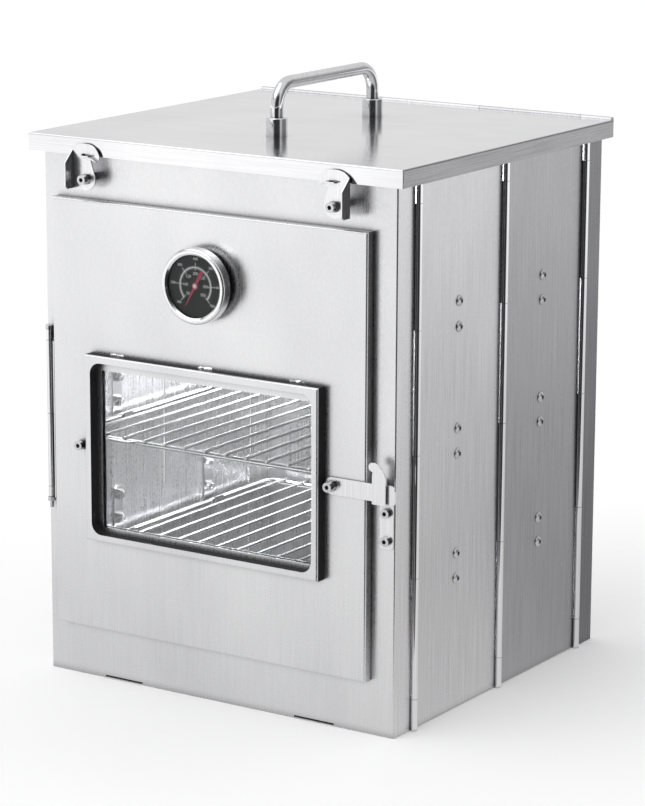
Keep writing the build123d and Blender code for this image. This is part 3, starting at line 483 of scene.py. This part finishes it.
def scale_print(sheet):
    ring(sheet, RING - RING_HALF, RING + RING_HALF, SCALE_START, SCALE_END)
    for k in range(INNER_TICKS + 1):
        long_tick = k % INNER_LONG_EVERY == 0
        tick(sheet, RING - (INNER_LONG if long_tick else INNER_SHORT), RING - TICK_OVERLAP,
             scale_angle(k / INNER_TICKS), LONG_TICK_HALF if long_tick else INNER_SHORT_HALF)
    for k in range(OUTER_TICKS + 1):
        long_tick = k % OUTER_LONG_EVERY == 0
        tick(sheet, RING + TICK_OVERLAP, RING + (OUTER_LONG if long_tick else OUTER_SHORT),
             scale_angle(k / OUTER_TICKS), LONG_TICK_HALF if long_tick else OUTER_SHORT_HALF)
    for k in range(NUMBERS):
        degrees = scale_angle(k / (NUMBERS - 1))
        number(sheet, str(INNER_STEP * (k + 1)), INNER_NUMBERS, degrees, INNER_HEIGHT)
        number(sheet, str(OUTER_STEP * (k + 1)), OUTER_NUMBERS, degrees, OUTER_HEIGHT)


mesh_piece("dial_scale", scale_print, print_white, "door")

# ---------------------------------------------------------------- needle hub
needle_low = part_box("gauge_needle")[0]
HUB_RADIUS = 0.0016
HUB_RISE = 0.0005
HUB_AROUND = 32
# shares of the hub's radius and rise, from its foot to its crown
HUB_PROFILE = ((1.0, 0.0), (1.0, 0.45), (0.86, 0.8), (0.55, 0.97))


def hub_cap(sheet):
    """A low turned cap with a rounded crown."""
    rows = []
    for share, rise in HUB_PROFILE:
        rows.append([sheet.verts.new((
            dial_middle.x + HUB_RADIUS * share * math.cos(2 * math.pi * k / HUB_AROUND),
            needle_low.y - HUB_RISE * rise,
            dial_middle.z + HUB_RADIUS * share * math.sin(2 * math.pi * k / HUB_AROUND)))
            for k in range(HUB_AROUND)])
    for before, after in zip(rows, rows[1:]):
        for k in range(HUB_AROUND):
            following = (k + 1) % HUB_AROUND
            sheet.faces.new((before[k], before[following], after[following], after[k]))
    sheet.faces.new(rows[0][::-1])
    sheet.faces.new(rows[-1])
    bmesh.ops.recalc_face_normals(sheet, faces=sheet.faces)


mesh_piece("needle_hub", hub_cap, print_white, "needle")

# ---------------------------------------------------------------- floor and light
FLOOR_HALF = 14.0
FLOOR_GLOW = 0.16


def flat_square(name, half, height, material):
    """A level square about the middle of the studio."""
    data = bpy.data.meshes.new(name)
    data.from_pydata([(-half, -half, height), (half, -half, height),
                      (half, half, height), (-half, half, height)], [], [(0, 1, 2, 3)])
    data.materials.append(material)
    made = bpy.data.objects.new(name, data)
    scene.collection.objects.link(made)
    return made


floor_paint = paint("floor_paint", dark=(0.93, 0.93, 0.93), light=(0.95, 0.95, 0.95),
                    rough=0.85, glow=FLOOR_GLOW, shine=0.0)
floor = flat_square("floor", FLOOR_HALF, 0.0, floor_paint)

world = bpy.data.worlds.new("studio")
scene.world = world
world.use_nodes = True
sky = Graph(world.node_tree)
direction = sky.node("ShaderNodeTexCoord")


def lobe(toward, start, end):
    """0 away from a direction of the studio, rising to 1 at it."""
    aim = Vector(toward).normalized()
    facing = sky.node("ShaderNodeVectorMath", operation="DOT_PRODUCT")
    facing.inputs[1].default_value = aim
    sky.link(direction.outputs["Generated"], facing.inputs[0])
    return sky.spread(facing.outputs["Value"], 0.0, 1.0, start, end)


def dimmed(before, share, strength):
    """before, or 1 where it is None, times 1 - strength where share is 1."""
    keep = sky.node("ShaderNodeMath", operation="MULTIPLY_ADD")
    keep.inputs[1].default_value = -strength
    keep.inputs[2].default_value = 1.0
    sky.link(share, keep.inputs[0])
    product = sky.node("ShaderNodeMath", operation="MULTIPLY")
    sky.link(keep.outputs["Value"], product.inputs[0])
    if before is None:
        product.inputs[1].default_value = 1.0
    else:
        sky.link(before, product.inputs[1])
    return product.outputs["Value"]


# the studio's dark parts: direction, where each starts and is full, as a cosine, and how much
# light it takes. They lie toward the lens, to the right and high on the left.
DARK_PARTS = (
    ((0.56, -0.80, 0.12), 0.74, 0.90, 0.95),
    ((0.86, 0.50, 0.05), 0.72, 0.95, 0.72),
    ((-0.54, -0.42, 0.70), 0.87, 0.94, 0.96),
)
studio_level = None
for toward, start, end, strength in DARK_PARTS:
    studio_level = dimmed(studio_level, lobe(toward, start, end), strength)
backdrop = sky.node("ShaderNodeBackground")
sky.link(studio_level, backdrop.inputs["Strength"])
sky_output = sky.node("ShaderNodeOutputWorld")
sky.link(backdrop.outputs["Background"], sky_output.inputs["Surface"])


# a card flat on the floor that only reflections show: dim near DIM_MIDDLE and brighter away from
# it, a painted shadow of the cabinet on the floor for its reflections, and dark in a wedge that
# opens from WEDGE_START toward the lens
CARD_HALF = 9.0
CARD_LIFT = 0.0006
CARD_PAINTED_SHADOW = 0.60
CARD_FAR = 1.16
CARD_LENS = 0.03
NEAR_REACH = 0.1
FAR_REACH = 2.2
# cosines off LENS_SIDE at the wedge's edge, and from where it is fully dark
WEDGE_EDGE = 0.58
WEDGE_FULL = 0.82
LENS_SIDE = Vector((0.56, -0.80, 0.0)).normalized()
WEDGE_START = LENS_SIDE * 0.34
DIM_MIDDLE = Vector((0.25, 0.35, 0.0))


def floor_card():
    made, graph = new_material("floor_card_tone")
    place = graph.node("ShaderNodeTexCoord")
    away = graph.node("ShaderNodeVectorMath", operation="DISTANCE")
    away.inputs[1].default_value = DIM_MIDDLE
    graph.link(place.outputs["Object"], away.inputs[0])
    past = graph.node("ShaderNodeVectorMath", operation="SUBTRACT")
    past.inputs[1].default_value = WEDGE_START
    graph.link(place.outputs["Object"], past.inputs[0])
    heading = graph.node("ShaderNodeVectorMath", operation="NORMALIZE")
    graph.link(past.outputs["Vector"], heading.inputs[0])
    facing = graph.node("ShaderNodeVectorMath", operation="DOT_PRODUCT")
    facing.inputs[1].default_value = LENS_SIDE
    graph.link(heading.outputs["Vector"], facing.inputs[0])
    # painted shadow: the card is dimmer near the cabinet
    near = graph.spread(away.outputs["Value"], CARD_PAINTED_SHADOW, CARD_FAR, NEAR_REACH, FAR_REACH)
    lens = graph.spread(facing.outputs["Value"], 1.0, CARD_LENS, WEDGE_EDGE, WEDGE_FULL)
    product = graph.node("ShaderNodeMath", operation="MULTIPLY")
    graph.link(near, product.inputs[0])
    graph.link(lens, product.inputs[1])
    glow = graph.node("ShaderNodeEmission")
    graph.link(product.outputs["Value"], glow.inputs["Strength"])
    output = graph.node("ShaderNodeOutputMaterial")
    graph.link(glow.outputs["Emission"], output.inputs["Surface"])
    return made


card = flat_square("floor_card", CARD_HALF, CARD_LIFT, floor_card())
card.visible_camera = False
card.visible_diffuse = False
card.visible_transmission = False
card.visible_shadow = False


# ---------------------------------------------------------------- lamp inside and soft sun
LAMP_PLACE = Vector((0.05, 0.0, 0.31))
LAMP_AIM = Vector((-0.15, 0.05, 0.19))
LAMP_SIDE = 0.14
LAMP_WATTS = 2.2
LAMP_BEAM = math.radians(110.0)
SUN_STRENGTH = 1.15
SUN_WIDTH = math.radians(60.0)
SUN_HEADING = Vector((0.45, 0.55, -1.0))


def light(name, kind, energy, heading):
    """A light that shines along heading."""
    data = bpy.data.lights.new(name, kind)
    data.energy = energy
    made = bpy.data.objects.new(name, data)
    made.rotation_euler = heading.to_track_quat("-Z", "Y").to_euler()
    scene.collection.objects.link(made)
    return made


# the lamp is hidden from the camera and shines on the lit nodes alone
lamp = light("inside", "AREA", LAMP_WATTS, LAMP_AIM - LAMP_PLACE)
lamp.data.shape = "SQUARE"
lamp.data.size = LAMP_SIDE
lamp.data.spread = LAMP_BEAM
lamp.location = LAMP_PLACE
lamp.visible_camera = False
lit_nodes = bpy.data.collections.new("inside_lights")
for node_name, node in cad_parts.items():
    left_inside = node_name.startswith("left_") and node_name.endswith(("_panel", "_bracket"))
    if left_inside or node_name in ("back_shell", "floor_tray"):
        lit_nodes.objects.link(node)
lamp.light_linking.receiver_collection = lit_nodes

sun = light("soft_sun", "SUN", SUN_STRENGTH, SUN_HEADING)
sun.data.angle = SUN_WIDTH
